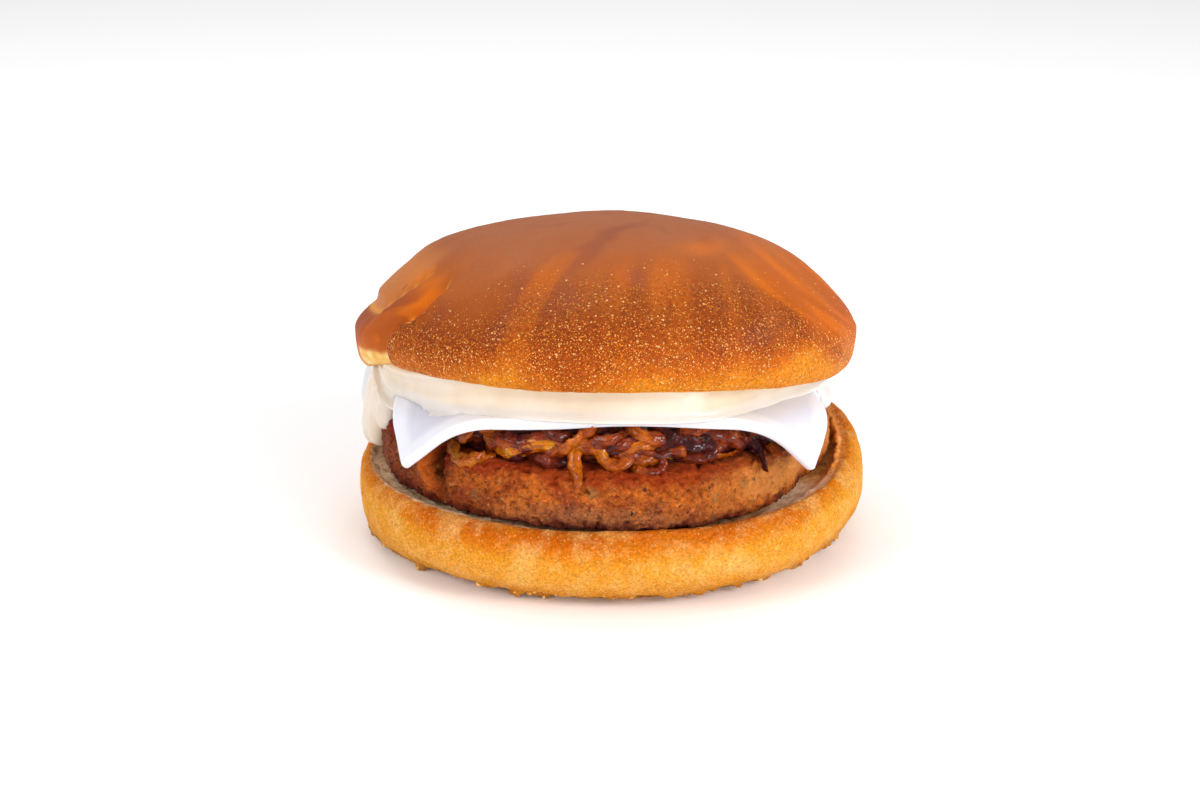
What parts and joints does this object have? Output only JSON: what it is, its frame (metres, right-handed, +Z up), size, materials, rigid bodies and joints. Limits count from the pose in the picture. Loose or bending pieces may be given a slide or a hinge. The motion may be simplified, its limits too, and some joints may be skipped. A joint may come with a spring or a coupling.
{
  "type": "burger with fried onions and white cheese",
  "caption": "Burger in a round bun with a tipped-back domed top, mayonnaise, a draped square cheese slice, fried onions and a thick vegetable patty, resting on its flat base.",
  "frame": {"origin": "on the ground under the middle of the burger's bounding box", "axes": "+Z up, front towards -Y, +X to the right of someone who faces the front"},
  "size_m": [0.1012, 0.0962, 0.0641],
  "materials": {
    "lower_bun": "matt golden baked crust with greyish crumb inside its rim",
    "patty": "coarse reddish-brown fried vegetable mash with dark and orange flecks",
    "onions": "glossy fried onion strips from amber to dark purple-brown",
    "cheese": "smooth satin white",
    "mayonnaise": "smooth glossy cream",
    "upper_bun": "browned satin crust with fine pale blisters"
  },
  "bodies": {
    "root": {"bun_heel": "lower_bun", "patty": "patty", "onions": "onions", "cheese_slice": "cheese", "mayonnaise": "mayonnaise", "bun_crown": "upper_bun"}
  },
  "joints": []
}
